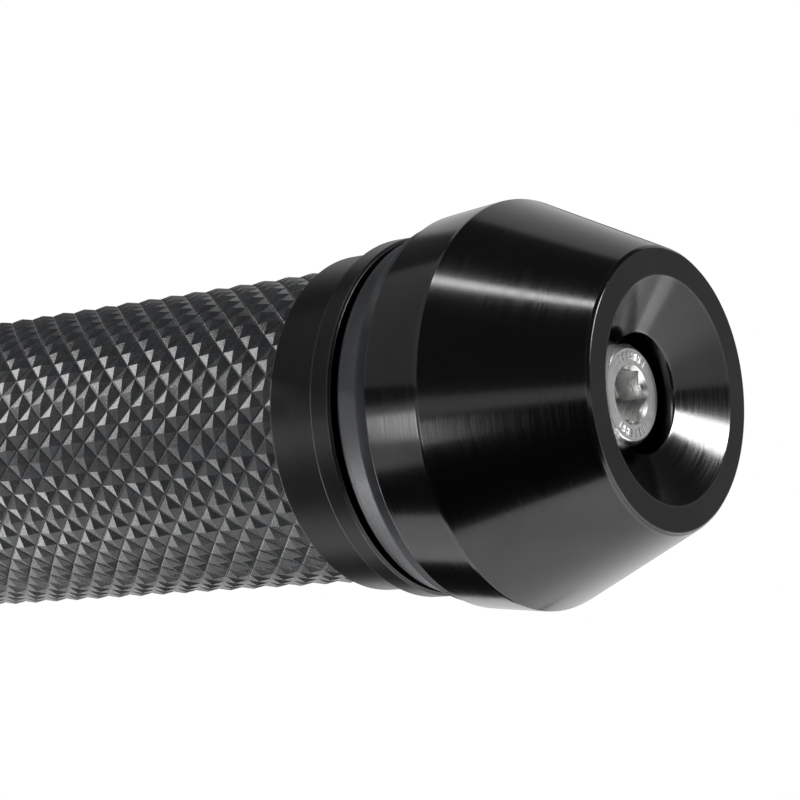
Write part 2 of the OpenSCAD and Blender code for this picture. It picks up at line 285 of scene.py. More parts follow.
def new_finish(name, **constants):
    """A material with one surface shader, its tree, and the shader. Constants are its own sockets."""
    material = bpy.data.materials.new(name)
    material.use_nodes = True
    tree = material.node_tree
    tree.nodes.clear()
    shader = add(tree, "ShaderNodeBsdfPrincipled")
    for socket, value in constants.items():
        shader.inputs[socket.replace("_", " ")].default_value = value
    add(tree, "ShaderNodeOutputMaterial", {"Surface": shader})
    return material, tree, shader


def grain(tree, size, detail=2.0, roughness=0.5):
    """Noise whose spots are about the given size across, in the piece's own frame."""
    place = add(tree, "ShaderNodeTexCoord").outputs["Object"]
    return add(tree, "ShaderNodeTexNoise", {
        "Vector": place, "Scale": 1 / size, "Detail": detail, "Roughness": roughness,
    })


def tool_lines(tree, spacing, drift):
    """Noise drawn out round the bar's axis, as a lathe tool leaves it.

    Lines are spacing apart across the cut and change over drift along it. The cut moves along the bar
    and inwards at once, so that faces, tapers and cylinders all show their lines.
    """
    inward_share = 1.6
    place = add(tree, "ShaderNodeTexCoord").outputs["Object"]
    axes = add(tree, "ShaderNodeSeparateXYZ", {0: place})
    flat = add(tree, "ShaderNodeCombineXYZ", {"Y": axes.outputs["Y"], "Z": axes.outputs["Z"]})
    radius = add(tree, "ShaderNodeVectorMath", {0: flat}, operation="LENGTH").outputs["Value"]
    feed = add(tree, "ShaderNodeMath", {0: radius, 1: -inward_share, 2: axes.outputs["X"]},
               operation="MULTIPLY_ADD")
    along = add(tree, "ShaderNodeMath", {0: feed, 1: 1 / spacing}, operation="MULTIPLY")
    round_bar = add(tree, "ShaderNodeVectorMath", {0: flat, 3: 1 / drift}, operation="SCALE")
    start = add(tree, "ShaderNodeCombineXYZ", {"X": along})
    vector = add(tree, "ShaderNodeVectorMath", {0: start, 1: round_bar}, operation="ADD")
    return add(tree, "ShaderNodeTexNoise", {"Vector": vector, "Scale": 1.0, "Detail": 3.0, "Roughness": 0.6})


# Noise hardly leaves this range, so the patterns below are stretched from it
NOISE_LOW = 0.3
NOISE_HIGH = 0.7


def vary(tree, shader, socket, factor, low, high):
    """Drives a shader's number between low and high from a noise pattern."""
    spread = add(tree, "ShaderNodeMapRange", {"Value": factor, 1: NOISE_LOW, 2: NOISE_HIGH, 3: low, 4: high})
    tree.links.new(spread.outputs[0], shader.inputs[socket])


def tint(tree, factor, one, two):
    """The colour between two hex colours that a noise pattern picks."""
    share = add(tree, "ShaderNodeMapRange", {"Value": factor, 1: NOISE_LOW, 2: NOISE_HIGH})
    mix = add(tree, "ShaderNodeMix", {0: share, 6: linear(one), 7: linear(two)}, data_type="RGBA")
    return mix.outputs[2]


def wear_tint(tree, shader, colour, worn, strength):
    """Mixes a brighter colour in along the rounded edges, broken up by grain."""
    wear = add(tree, "ShaderNodeAttribute", attribute_name="wear").outputs["Fac"]
    spots = grain(tree, 0.8 * MM, 3.0)
    patches = add(tree, "ShaderNodeMapRange", {"Value": spots, 1: 0.4, 2: 0.7, 3: 0.2, 4: strength})
    share = add(tree, "ShaderNodeMath", {0: wear, 1: patches}, operation="MULTIPLY")
    mix = add(tree, "ShaderNodeMix", {0: share, 6: colour, 7: linear(worn)}, data_type="RGBA")
    tree.links.new(mix.outputs[2], shader.inputs["Base Color"])


def bump(tree, shader, height, depth):
    """Raises the surface by up to depth where the pattern is 1."""
    relief = add(tree, "ShaderNodeBump", {"Height": height, "Distance": depth, "Strength": 1.0})
    tree.links.new(relief.outputs[0], shader.inputs["Normal"])


def round_tangent(tree, shader):
    """Draws the gloss out across the tool lines, which run round the bar's axis."""
    place = add(tree, "ShaderNodeTexCoord").outputs["Object"]
    around = add(tree, "ShaderNodeVectorMath", {0: (1, 0, 0), 1: place}, operation="CROSS_PRODUCT")
    world = add(tree, "ShaderNodeVectorTransform", {0: around},
                vector_type="VECTOR", convert_from="OBJECT", convert_to="WORLD")
    tree.links.new(world.outputs[0], shader.inputs["Tangent"])


def moulded_grip_rubber():
    """Compression-moulded natural rubber: near black, satin, a little cloudy from the mould."""
    material, tree, shader = new_finish("moulded_grip_rubber", IOR=1.52)
    cloud = grain(tree, 1.6 * MM, 3.0)
    fine = grain(tree, 0.22 * MM, 3.0, 0.65)
    tree.links.new(tint(tree, cloud, "#151618", "#1F2124"), shader.inputs["Base Color"])
    vary(tree, shader, "Roughness", fine, 0.24, 0.36)
    bump(tree, shader, fine, 0.02 * MM)
    return material


def gloss_anodised():
    """Turned aluminium, bright dipped and black anodised: a deep gloss drawn into fine rings by the tool."""
    material, tree, shader = new_finish("gloss_anodised", Metallic=1.0, Anisotropic=0.4)
    lines = tool_lines(tree, 0.16 * MM, 9 * MM)
    body = tint(tree, grain(tree, 6 * MM), "#393939", "#3E3E3E")
    wear_tint(tree, shader, body, "#6A6A6A", 0.3)
    vary(tree, shader, "Roughness", lines, 0.1, 0.18)
    bump(tree, shader, lines, 0.0025 * MM)
    round_tangent(tree, shader)
    return material


def satin_anodised():
    """Turned aluminium, etched and black anodised: the etch leaves a softer, darker gloss."""
    material, tree, shader = new_finish("satin_anodised", Metallic=1.0, Anisotropic=0.3)
    lines = tool_lines(tree, 0.2 * MM, 12 * MM)
    body = tint(tree, grain(tree, 5 * MM), "#2B2B2C", "#303031")
    wear_tint(tree, shader, body, "#747475", 0.35)
    vary(tree, shader, "Roughness", lines, 0.3, 0.36)
    bump(tree, shader, lines, 0.0012 * MM)
    round_tangent(tree, shader)
    return material


def soft_ring_rubber():
    """Cast polyurethane rubber: a smooth grey-blue skin with a soft wide highlight."""
    material, tree, shader = new_finish("soft_ring_rubber", IOR=1.45)
    cloud = grain(tree, 3 * MM, 3.0)
    fine = grain(tree, 0.3 * MM, 2.0)
    tree.links.new(tint(tree, cloud, "#1C1E22", "#24272C"), shader.inputs["Base Color"])
    vary(tree, shader, "Roughness", fine, 0.38, 0.48)
    bump(tree, shader, fine, 0.01 * MM)
    return material


def turned_stainless():
    """Stainless steel, cold headed and tumbled: bright, with faint rings and a fine tumbled grain."""
    material, tree, shader = new_finish("turned_stainless", Metallic=1.0)
    lines = tool_lines(tree, 0.2 * MM, 8 * MM)
    tree.links.new(tint(tree, grain(tree, 1.2 * MM), "#C9C9C8", "#DEDEDD"), shader.inputs["Base Color"])
    vary(tree, shader, "Roughness", lines, 0.16, 0.3)
    bump(tree, shader, grain(tree, 0.25 * MM), 0.006 * MM)
    return material


def zinc_plate():
    """Steel with clear zinc plating: a cool grey sheen with a slight spangle."""
    material, tree, shader = new_finish("zinc_plate", Metallic=1.0)
    spangle = grain(tree, 0.9 * MM, 3.0)
    tree.links.new(tint(tree, spangle, "#9FA4A9", "#BFC1BE"), shader.inputs["Base Color"])
    vary(tree, shader, "Roughness", spangle, 0.28, 0.46)
    bump(tree, shader, grain(tree, 0.3 * MM), 0.006 * MM)
    return material


def black_oxide():
    """Alloy steel, blackened in hot salts and oiled: dark, dull, a trace of brown."""
    material, tree, shader = new_finish("black_oxide", Metallic=1.0)
    patch = grain(tree, 1.1 * MM, 3.0)
    tree.links.new(tint(tree, patch, "#252527", "#3A3733"), shader.inputs["Base Color"])
    vary(tree, shader, "Roughness", patch, 0.34, 0.52)
    bump(tree, shader, grain(tree, 0.25 * MM), 0.008 * MM)
    return material


def machined_aluminium():
    """Bare aluminium off the lathe and mill: pale metal with close tool lines."""
    material, tree, shader = new_finish("machined_aluminium", Metallic=1.0, Anisotropic=0.4)
    lines = tool_lines(tree, 0.22 * MM, 20 * MM)
    tree.links.new(tint(tree, lines, "#B4B6BA", "#D3D5D7"), shader.inputs["Base Color"])
    vary(tree, shader, "Roughness", lines, 0.22, 0.4)
    bump(tree, shader, lines, 0.006 * MM)
    round_tangent(tree, shader)
    return material


def moulded_nylon(name, dark, light, roughness):
    """Injection-moulded nylon: a matt waxy skin with the mould's spark-eroded grain."""
    material, tree, shader = new_finish(name, IOR=1.53)
    tree.links.new(tint(tree, grain(tree, 4 * MM, 3.0), dark, light), shader.inputs["Base Color"])
    texture = grain(tree, 0.35 * MM, 3.0)
    vary(tree, shader, "Roughness", texture, roughness - 0.08, roughness + 0.08)
    bump(tree, shader, texture, 0.015 * MM)
    return material


def elastic_rubber():
    """Moulded nitrile rubber: matt black with a dusty bloom."""
    material, tree, shader = new_finish("elastic_rubber", IOR=1.52)
    bloom = grain(tree, 1.0 * MM, 4.0)
    tree.links.new(tint(tree, bloom, "#1A1A1B", "#2B2B2C"), shader.inputs["Base Color"])
    vary(tree, shader, "Roughness", bloom, 0.5, 0.7)
    bump(tree, shader, grain(tree, 0.2 * MM), 0.01 * MM)
    return material


GRIP_RUBBER = moulded_grip_rubber()
GLOSS_BLACK = gloss_anodised()
SATIN_BLACK = satin_anodised()
RING_RUBBER = soft_ring_rubber()
STAINLESS = turned_stainless()
ZINC = zinc_plate()
BLACK_STEEL = black_oxide()
ALUMINIUM = machined_aluminium()
CORE_NYLON = moulded_nylon("glass_filled_nylon", "#1C1C1E", "#29292B", 0.55)
BUSH_NYLON = moulded_nylon("natural_nylon", "#CFCABD", "#DEDACF", 0.45)
BAND_RUBBER = elastic_rubber()


# ---- Grip sleeve ---------------------------------------------------------------------

# Pitch of the pyramids along the bar, and how many stand round it
PYRAMID_PITCH = 3.3 * MM
PYRAMIDS_ROUND = 32
PYRAMID_HEIGHT = 0.27 * MM
# Share of a pyramid's half width that its blunt tip takes
TIP_SHARE = 0.06
# Share where the sides turn steeper, and where the groove's floor begins
FOOT_SHARE = 0.88
GROOVE_SHARE = 0.96
# Height of the steeper foot
FOOT_HEIGHT = 0.055 * MM
# Faces that meet at more than this stay crisp, so that each pyramid keeps its four flat sides
CRISP_ANGLE = math.radians(8)


def pyramid_cell(length, width, height):
    """A rectangle of the pattern: one whole pyramid with a quarter of one at each corner."""
    mesh = bmesh.new()
    levels = [
        (0, height),
        (TIP_SHARE, height * (1 - TIP_SHARE / 2)),
        (FOOT_SHARE, FOOT_HEIGHT),
        (GROOVE_SHARE, 0),
        (1, 0),
    ]
    diamond = [(1, 0), (0, 1), (-1, 0), (0, -1)]
    rings = []
    for share, rise in levels:
        corners = diamond if share else [(0, 0)]
        along, across = share * length / 2, share * width / 2
        rings.append([mesh.verts.new((x * along, y * across, rise)) for x, y in corners])
    for inner, outer in zip(rings, rings[1:]):
        bridge(mesh, inner, outer)
    for x_side, y_side in [(1, 1), (-1, 1), (-1, -1), (1, -1)]:
        edges = []
        for share, rise in levels:
            corner = Vector((x_side * length / 2, y_side * width / 2, rise))
            along = Vector((-x_side * share * length / 2, 0, 0))
            across = Vector((0, -y_side * share * width / 2, 0))
            ends = [corner + along, corner + across] if share else [corner]
            edges.append([mesh.verts.new(end) for end in ends])
        for inner, outer in zip(edges, edges[1:]):
            mesh.faces.new([*inner, *reversed(outer)])
    bmesh.ops.remove_doubles(mesh, verts=mesh.verts, dist=0.001 * MM)
    return helper(mesh)


def sleeve_tree():
    """Lays cells in rows along the bar and bends the sheet round it until its edges meet."""
    sockets = {"Cell": "Object", "Columns": "Int", "Rows": "Int", "Length": "Float", "Width": "Float",
               "Start": "Float", "Root Radius": "Float"}
    tree, given = new_tree("pyramid_sleeve", sockets)
    sizes = []
    for pitch, count in (("Length", "Columns"), ("Width", "Rows")):
        gaps = add(tree, "ShaderNodeMath", {0: given[count], 1: 1.0}, operation="SUBTRACT")
        sizes.append(add(tree, "ShaderNodeMath", {0: given[pitch], 1: gaps}, operation="MULTIPLY"))
    grid = add(tree, "GeometryNodeMeshGrid", {"Size X": sizes[0], "Size Y": sizes[1],
                                              "Vertices X": given["Columns"], "Vertices Y": given["Rows"]})
    cell = add(tree, "GeometryNodeObjectInfo", {"Object": given["Cell"]}).outputs["Geometry"]
    cells = add(tree, "GeometryNodeInstanceOnPoints", {"Points": grid, "Instance": cell})
    sheet = add(tree, "GeometryNodeRealizeInstances", {"Geometry": cells})
    place = add(tree, "ShaderNodeSeparateXYZ", {0: add(tree, "GeometryNodeInputPosition")})
    half = add(tree, "ShaderNodeMath", {0: given["Length"], 1: given["Columns"]}, operation="MULTIPLY")
    middle = add(tree, "ShaderNodeMath", {0: half, 1: 0.5, 2: given["Start"]}, operation="MULTIPLY_ADD")
    x = add(tree, "ShaderNodeMath", {0: place.outputs["X"], 1: middle}, operation="ADD")
    radius = add(tree, "ShaderNodeMath", {0: place.outputs["Z"], 1: given["Root Radius"]}, operation="ADD")
    whole = add(tree, "ShaderNodeMath", {0: given["Width"], 1: given["Rows"]}, operation="MULTIPLY")
    share = add(tree, "ShaderNodeMath", {0: place.outputs["Y"], 1: whole}, operation="DIVIDE")
    angle = add(tree, "ShaderNodeMath", {0: share, 1: TURN}, operation="MULTIPLY")
    cosine = add(tree, "ShaderNodeMath", {0: angle}, operation="COSINE")
    sine = add(tree, "ShaderNodeMath", {0: angle}, operation="SINE")
    outwards = add(tree, "ShaderNodeCombineXYZ", {
        "X": x,
        "Y": add(tree, "ShaderNodeMath", {0: radius, 1: cosine}, operation="MULTIPLY"),
        "Z": add(tree, "ShaderNodeMath", {0: radius, 1: sine}, operation="MULTIPLY"),
    })
    bent = add(tree, "GeometryNodeSetPosition", {"Geometry": sheet, "Position": outwards})
    closed = add(tree, "GeometryNodeMergeByDistance", {"Geometry": bent, "Distance": 0.002 * MM})
    end_tree(tree, closed, GRIP_RUBBER)
    return tree


def open_ring(mesh, x):
    """The vertices of the open edge at a place along the bar, in order round it."""
    near = [v for v in mesh.verts if v.is_boundary and abs(v.co.x - x) < 0.01 * MM]
    return sorted(near, key=lambda v: math.atan2(v.co.z, -v.co.y))


def grip_sleeve():
    """The rubber grip: pyramids from the bead to the collar, a plain bead, and the bore on the core."""
    corners = outline_of("grip_rubber")
    end = max(x for x, radius in corners)
    tip_radius = max(radius for x, radius in corners if x == end)
    bore_radius = min(radius for x, radius in corners)
    plain = [corner for corner in corners if corner.x < end]
    bead_end = max(corner.x for corner in plain if corner.y > bore_radius)
    root_radius = tip_radius - PYRAMID_HEIGHT
    plain_strip = 0.3 * MM
    start = bead_end + plain_strip
    columns = round((end - start) / PYRAMID_PITCH)
    length = (end - start) / columns
    width = TURN * tip_radius / PYRAMIDS_ROUND
    cell = pyramid_cell(length, width, PYRAMID_HEIGHT)
    mesh = grown(sleeve_tree(), {
        "Cell": cell, "Columns": columns, "Rows": PYRAMIDS_ROUND, "Length": length, "Width": width,
        "Start": start, "Root Radius": root_radius,
    })
    bpy.data.objects.remove(cell)
    first, last = open_ring(mesh, start), open_ring(mesh, end)
    bead = sorted((c for c in plain if c.y > bore_radius and c.x < bead_end), key=lambda c: (-c.x, -c.y))
    path = [(bead_end, root_radius), *bead, (min(c.x for c in plain), bore_radius), (end, bore_radius)]
    rings = [first]
    for x, radius in path:
        ring = []
        for vertex in first:
            angle = math.atan2(vertex.co.z, -vertex.co.y)
            ring.append(mesh.verts.new((x, -radius * math.cos(angle), radius * math.sin(angle))))
        rings.append(ring)
    rings.append(last)
    for one, two in zip(rings, rings[1:]):
        bridge(mesh, one, two)
    add_piece("diamond_grip_sleeve", mesh, GRIP_RUBBER, "grip", "grip_rubber", "grip_rubber",
              smooth_angle=CRISP_ANGLE)


# ---- Turned pieces -------------------------------------------------------------------

def turned_piece(name, node, radius, material, body, slot):
    """A turned node again, with fine rings and rounded corners."""
    add_piece(name, turned(rounded(outline_of(node), radius)), material, body, slot, node)


def turned_pieces():
    """The weight and what sits on its axis."""
    turned_piece("turned_end_weight", "end_weight", 0.12 * MM, GLOSS_BLACK, "bar_end", "bright_anodised")
    turned_piece("moulded_cushion_ring", "cushion_ring", 0.5 * MM, RING_RUBBER, "bar_end", "cushion_rubber")
    turned_piece("stamped_head_washer", "head_washer", 0.2 * MM, ZINC, "bar_end", "zinc_steel")
    turned_piece("moulded_centring_bush", "centring_bush", 0.3 * MM, BUSH_NYLON, "bar_end", "bush_nylon")


def end_collar():
    """The collar of the grip, with a countersunk hole over each grub screw."""
    corners = outline_of("end_collar")
    mesh = turned(rounded(corners, 0.1 * MM))
    surface = max(radius for x, radius in corners if x == min(corners).x)
    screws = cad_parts["collar_grub_screws"].data
    low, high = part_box("collar_grub_screws")
    clearance = 0.05 * MM
    hole_radius = (high.x - low.x) / 2 + clearance
    drill_depth = 8 * MM
    countersink = 0.25 * MM
    for side in (1, -1):
        places = [vertex.co for vertex in screws.vertices if vertex.co.z * side > 0]
        centre = sum(places, Vector()) / len(places)
        drill = turned([
            (surface - drill_depth, 0, 0),
            (surface - drill_depth, hole_radius, 0),
            (surface - countersink, hole_radius, 0),
            (surface + countersink, hole_radius + 2 * countersink, 0),
            (surface + countersink, 0, 0),
        ], 48, closed=False)
        bmesh.ops.recalc_face_normals(drill, faces=drill.faces)
        aim = Vector((1, 0, 0)).rotation_difference(Vector((0, centre.y, centre.z)))
        drill.transform(Matrix.Translation((centre.x, 0, 0)) @ aim.to_matrix().to_4x4())
        mesh = drilled(mesh, drill)
    add_piece("turned_end_collar", mesh, SATIN_BLACK, "grip", "satin_anodised", "end_collar")


grip_sleeve()
turned_pieces()
end_collar()


# ---- Pieces with flats, slots and holes ----------------------------------------------

def softened_pieces():
    """The remaining shapes, with their edges broken as a file or a mould leaves them."""
    rows = [
        ("moulded_core_sleeve", "core_sleeve", 0.15, CORE_NYLON, "grip", "core_nylon"),
        ("milled_lock_ring", "lock_ring", 0.12, SATIN_BLACK, "grip", "satin_anodised"),
        ("blackened_grub_screws", "collar_grub_screws", 0.06, BLACK_STEEL, "grip", "black_steel"),
        ("coiled_spring_washer", "spring_washer", 0.15, ZINC, "bar_end", "zinc_steel"),
        ("turned_front_wedge", "front_wedge", 0.12, ALUMINIUM, "bar_end", "machined_aluminium"),
        ("turned_rear_wedge", "rear_wedge", 0.12, ALUMINIUM, "rear_wedge", "machined_aluminium"),
        ("plated_wedge_nut", "wedge_nut", 0.15, ZINC, "rear_wedge", "zinc_steel"),
        ("turned_jaw_1", "jaw_1", 0.12, ALUMINIUM, "jaw_1", "machined_aluminium"),
        ("turned_jaw_2", "jaw_2", 0.12, ALUMINIUM, "jaw_2", "machined_aluminium"),
        ("turned_jaw_3", "jaw_3", 0.12, ALUMINIUM, "jaw_3", "machined_aluminium"),
    ]
    for name, node, width, material, body, slot in rows:
        add_piece(name, softened(node, width * MM), material, body, slot, node)


def elastic_bands():
    """The two rings of round cord that hold the jaws together."""
    for name in ("front_band", "rear_band"):
        low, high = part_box(name)
        cord_radius = (high.x - low.x) / 2
        steps = 20
        section = []
        for step in range(steps):
            angle = TURN * step / steps
            x = low.x + cord_radius + cord_radius * math.cos(angle)
            radius = high.z - cord_radius + cord_radius * math.sin(angle)
            section.append((x, radius, 0))
        add_piece("elastic_" + name, turned(section, 96), BAND_RUBBER, "jaw_1", "band_rubber", name)


softened_pieces()
elastic_bands()


# ---- Screws --------------------------------------------------------------------------

FLUTES = 36


def hexagon_radius(angle, width):
    """Radius at an angle of a hexagon with flats facing up and down."""
    sector = math.degrees(angle) % 60 - 30
    return width / 2 / math.cos(math.radians(sector))


def socket_screw(tip, seat, top, shank_radius, head_radius, socket, thread_end, pitch):
    """The closed shells of a socket cap screw that points along -X: its body and its thread."""
    thread_depth = 0.6 * pitch
    core_radius = shank_radius - thread_depth
    flute_depth = 0.035 * head_radius
    chamfer = 0.1 * head_radius
    mouth = socket / 2 / math.cos(math.radians(30)) + 0.02 * socket
    depth = 0.65 * socket

    def fluted(x):
        return lambda angle: (x, head_radius - flute_depth * (0.5 - 0.5 * math.cos(FLUTES * angle)), 0.5)

    def socket_edge(angle):
        radius = hexagon_radius(angle, socket)
        return (top - (mouth - radius), radius, 1)

    def socket_floor(angle):
        return (top - depth, hexagon_radius(angle, socket), 0)

    body = turned([
        (tip, 0, 0),
        (tip, core_radius - thread_depth, 0),
        (tip + thread_depth, core_radius, 0),
        (thread_end, core_radius, 0),
        (thread_end + thread_depth, shank_radius, 0),
        (seat - 0.3 * chamfer, shank_radius, 0),
        (seat, shank_radius + 0.3 * chamfer, 0),
        (seat, head_radius - chamfer, 0),
        (seat + 0.5 * chamfer, head_radius - 0.2 * chamfer, 0.5),
        (seat + chamfer, head_radius, 0.5),
        (seat + 1.2 * chamfer, head_radius, 0),
        fluted(seat + 1.8 * chamfer),
        fluted(top - 2.6 * chamfer),
        (top - 2.0 * chamfer, head_radius, 0),
        (top - chamfer, head_radius, 0.5),
        (top - 0.8 * chamfer, head_radius - 0.06 * chamfer, 1),
        (top - 0.15 * chamfer, head_radius - 0.7 * chamfer, 1),
        (top, head_radius - chamfer, 1),
        (top, head_radius - 1.4 * chamfer, 0),
        (top, mouth + 0.3 * chamfer, 0),
        (top, mouth, 1),
        socket_edge,
        socket_floor,
        (top - depth - 0.12 * socket, 0, 0),
    ], closed=False)
    start = tip + thread_depth
    turns = (thread_end - start) / pitch
    ridge = grown(thread_tree(), {
        "Turns": turns, "Pitch": pitch, "Core Radius": core_radius, "Depth": thread_depth,
    })
    ridge.transform(Matrix.Translation((start, 0, 0)) @ Matrix.Rotation(math.radians(90), 4, "Y"))
    return [body, ridge]


def thread_tree():
    """A ridge that climbs a helix about Z and sinks into the core at both ends."""
    sockets = {"Turns": "Float", "Pitch": "Float", "Core Radius": "Float", "Depth": "Float"}
    tree, given = new_tree("thread", sockets)
    height = add(tree, "ShaderNodeMath", {0: given["Turns"], 1: given["Pitch"]}, operation="MULTIPLY")
    helix = add(tree, "GeometryNodeCurveSpiral", {
        "Resolution": 32, "Rotations": given["Turns"], "Start Radius": given["Core Radius"],
        "End Radius": given["Core Radius"], "Height": height,
    })
    upright = add(tree, "GeometryNodeSetCurveNormal", {"Curve": helix}, mode="Z_UP")
    foot = add(tree, "ShaderNodeMath", {0: given["Pitch"], 1: 0.86}, operation="MULTIPLY")
    crest = add(tree, "ShaderNodeMath", {0: given["Pitch"], 1: 0.14}, operation="MULTIPLY")
    half = add(tree, "ShaderNodeMath", {0: given["Depth"], 1: 0.5}, operation="MULTIPLY")
    section = add(tree, "GeometryNodeCurvePrimitiveQuadrilateral", {
        "Bottom Width": foot, "Top Width": crest, "Height": given["Depth"], "Offset": 0.0,
    }, mode="TRAPEZOID")
    lift = add(tree, "ShaderNodeCombineXYZ", {"X": half})
    turned_section = add(tree, "GeometryNodeTransform", {
        "Geometry": section, "Rotation": (0, 0, math.radians(-90)), "Translation": lift,
    })
    along = add(tree, "GeometryNodeSplineParameter").outputs["Factor"]
    rest = add(tree, "ShaderNodeMath", {0: 1.0, 1: along}, operation="SUBTRACT")
    nearer = add(tree, "ShaderNodeMath", {0: along, 1: rest}, operation="MINIMUM")
    turns_in = add(tree, "ShaderNodeMath", {0: nearer, 1: given["Turns"]}, operation="MULTIPLY")
    growth = add(tree, "ShaderNodeMath", {0: turns_in, 1: 2.0, 2: 0.02},
                 operation="MULTIPLY_ADD", use_clamp=True)
    ridge = add(tree, "GeometryNodeCurveToMesh", {
        "Curve": upright, "Profile Curve": turned_section, "Scale": growth, "Fill Caps": True,
    })
    end_tree(tree, ridge, BLACK_STEEL)
    return tree


def marks_tree():
    """Copies of a mark, spaced evenly by angle about X on a circle."""
    sockets = {"Mark": "Object", "Count": "Int", "Step": "Float", "First": "Float",
               "Radius": "Float", "Place": "Float"}
    tree, given = new_tree("marks", sockets)
    line = add(tree, "GeometryNodeMeshLine", {"Count": given["Count"]})
    order = add(tree, "GeometryNodeInputIndex")
    angle = add(tree, "ShaderNodeMath", {0: order, 1: given["Step"], 2: given["First"]},
                operation="MULTIPLY_ADD")
    cosine = add(tree, "ShaderNodeMath", {0: angle}, operation="COSINE")
    sine = add(tree, "ShaderNodeMath", {0: angle}, operation="SINE")
    spot = add(tree, "ShaderNodeCombineXYZ", {
        "X": given["Place"],
        "Y": add(tree, "ShaderNodeMath", {0: cosine, 1: given["Radius"]}, operation="MULTIPLY"),
        "Z": add(tree, "ShaderNodeMath", {0: sine, 1: given["Radius"]}, operation="MULTIPLY"),
    })
    points = add(tree, "GeometryNodeSetPosition", {"Geometry": line, "Position": spot})
    facing = add(tree, "ShaderNodeCombineXYZ", {"X": angle})
    mark = add(tree, "GeometryNodeObjectInfo", {"Object": given["Mark"]}).outputs["Geometry"]
    marks = add(tree, "GeometryNodeInstanceOnPoints", {
        "Points": points, "Instance": mark, "Rotation": facing,
    })
    end_tree(tree, marks, STAINLESS)
    return tree


def raised_bar(height, length, width):
    """A small bar with a rounded top that stands up along +X and points along Y."""
    mesh = bmesh.new()
    bmesh.ops.create_cube(mesh, size=1, matrix=Matrix.Diagonal((2 * height, length, width, 1)))
    upper = [edge for edge in mesh.edges if all(v.co.x > 0 for v in edge.verts)]
    bmesh.ops.bevel(mesh, geom=upper, offset=0.35 * width, segments=2, profile=0.5, affect="EDGES")
    return helper(mesh)


def cap_screw():
    """The centre screw, with two plain groups of raised ticks on its head."""
    low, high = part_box("cap_screw")
    corners = outline_of_screw("cap_screw")
    thread_length = 24 * MM
    shells = socket_screw(tip=low.x, top=high.x, socket=5 * MM, thread_end=low.x + thread_length,
                          pitch=1 * MM, **corners)
    mark = raised_bar(0.1 * MM, 0.8 * MM, 0.24 * MM)
    count = 7
    step = math.radians(11)
    for middle in (TURN / 4, -TURN / 4):
        shells.append(grown(marks_tree(), {
            "Mark": mark, "Count": count, "Step": step, "First": middle - step * (count - 1) / 2,
            "Radius": 0.76 * corners["head_radius"], "Place": high.x,
        }))
    bpy.data.objects.remove(mark)
    add_piece("stainless_cap_screw", merged(shells), STAINLESS, "cap_screw", "stainless", "cap_screw")


def outline_of_screw(node):
    """The radii and the seat of a screw whose axis is the bar's."""
    head_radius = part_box(node)[1].y
    rings = [Vector(key) * MM / 100 for key in {ring_key(v.co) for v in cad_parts[node].data.vertices}]
    seat = min(x for x, radius in rings if radius > head_radius - 0.02 * MM)
    shank_radius = max(radius for x, radius in rings if x < seat - 1 * MM)
    return {"seat": seat, "shank_radius": shank_radius, "head_radius": head_radius}


def lock_screw():
    """The small screw across the lock ring's slot, with its head on the +Y side."""
    low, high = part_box("lock_screw")
    head_radius = (high.x - low.x) / 2
    head_height = 4 * MM
    plain_shank = 1.5 * MM
    seat = high.y - head_height
    shells = socket_screw(tip=low.y, seat=seat, top=high.y, shank_radius=2 * MM, head_radius=head_radius,
                          socket=3 * MM, thread_end=seat - plain_shank, pitch=0.7 * MM)
    mesh = merged(shells)
    centre = (low + high) / 2
    mesh.transform(Matrix.Translation((centre.x, 0, centre.z)) @ Matrix.Rotation(math.radians(90), 4, "Z"))
    add_piece("blackened_lock_screw", mesh, BLACK_STEEL, "lock_screw", "black_steel", "lock_screw")


cap_screw()
lock_screw()


# ---- Camera, floor and light ---------------------------------------------------------

AZIMUTH = math.radians(38.2)
ELEVATION = math.radians(-8.56)
CAMERA_DISTANCE = 271 * MM
FIELD_OF_VIEW = math.radians(17.36)


def direction(azimuth, elevation):
    """The direction towards a place seen at these angles; azimuth 0 is in front, at -Y."""
    level = math.cos(elevation)
    return Vector((math.sin(azimuth) * level, -math.cos(azimuth) * level, math.sin(elevation)))


def make_camera():
    """The camera, low on the outboard side, aimed just inboard of the weight."""
    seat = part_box("end_weight")[0].x
    inboard, lift = 6.1 * MM, 2.1 * MM
    aim = Vector((seat - inboard, 0, lift))
    away = direction(AZIMUTH, ELEVATION)
    data = bpy.data.cameras.new("camera")
    data.sensor_width = 36
    data.angle = FIELD_OF_VIEW
    data.clip_start = 0.01
    camera = bpy.data.objects.new("camera", data)
    camera.location = aim + away * CAMERA_DISTANCE
    camera.rotation_euler = away.to_track_quat("Z", "Y").to_euler()
    bpy.context.scene.collection.objects.link(camera)
    bpy.context.scene.camera = camera


def add_panel(name, centre, aim, along, size, brightness):
    """A rectangular light of even brightness, its width along a direction. The camera can't see it."""
    width, height = size
    data = bpy.data.lights.new(name, "AREA")
    data.shape = "RECTANGLE"
    data.size, data.size_y = width, height
    data.energy = brightness * math.pi * width * height
    panel = bpy.data.objects.new(name, data)
    away = (centre - aim).normalized()
    side = (along - away * along.dot(away)).normalized()
    turn = Matrix((side, away.cross(side), away)).transposed()
    panel.matrix_world = Matrix.Translation(centre) @ turn.to_4x4()
    panel.visible_camera = False
    bpy.context.scene.collection.objects.link(panel)


def add_card(name, corners, colour):
    """A flat card of the studio."""
    data = bpy.data.meshes.new(name)
    data.from_pydata(corners, [], [(0, 1, 2, 3)])
    material, tree, shader = new_finish(name, Base_Color=linear(colour), Roughness=0.9)
    data.materials.append(material)
    card = bpy.data.objects.new(name, data)
    bpy.context.scene.collection.objects.link(card)
    return card


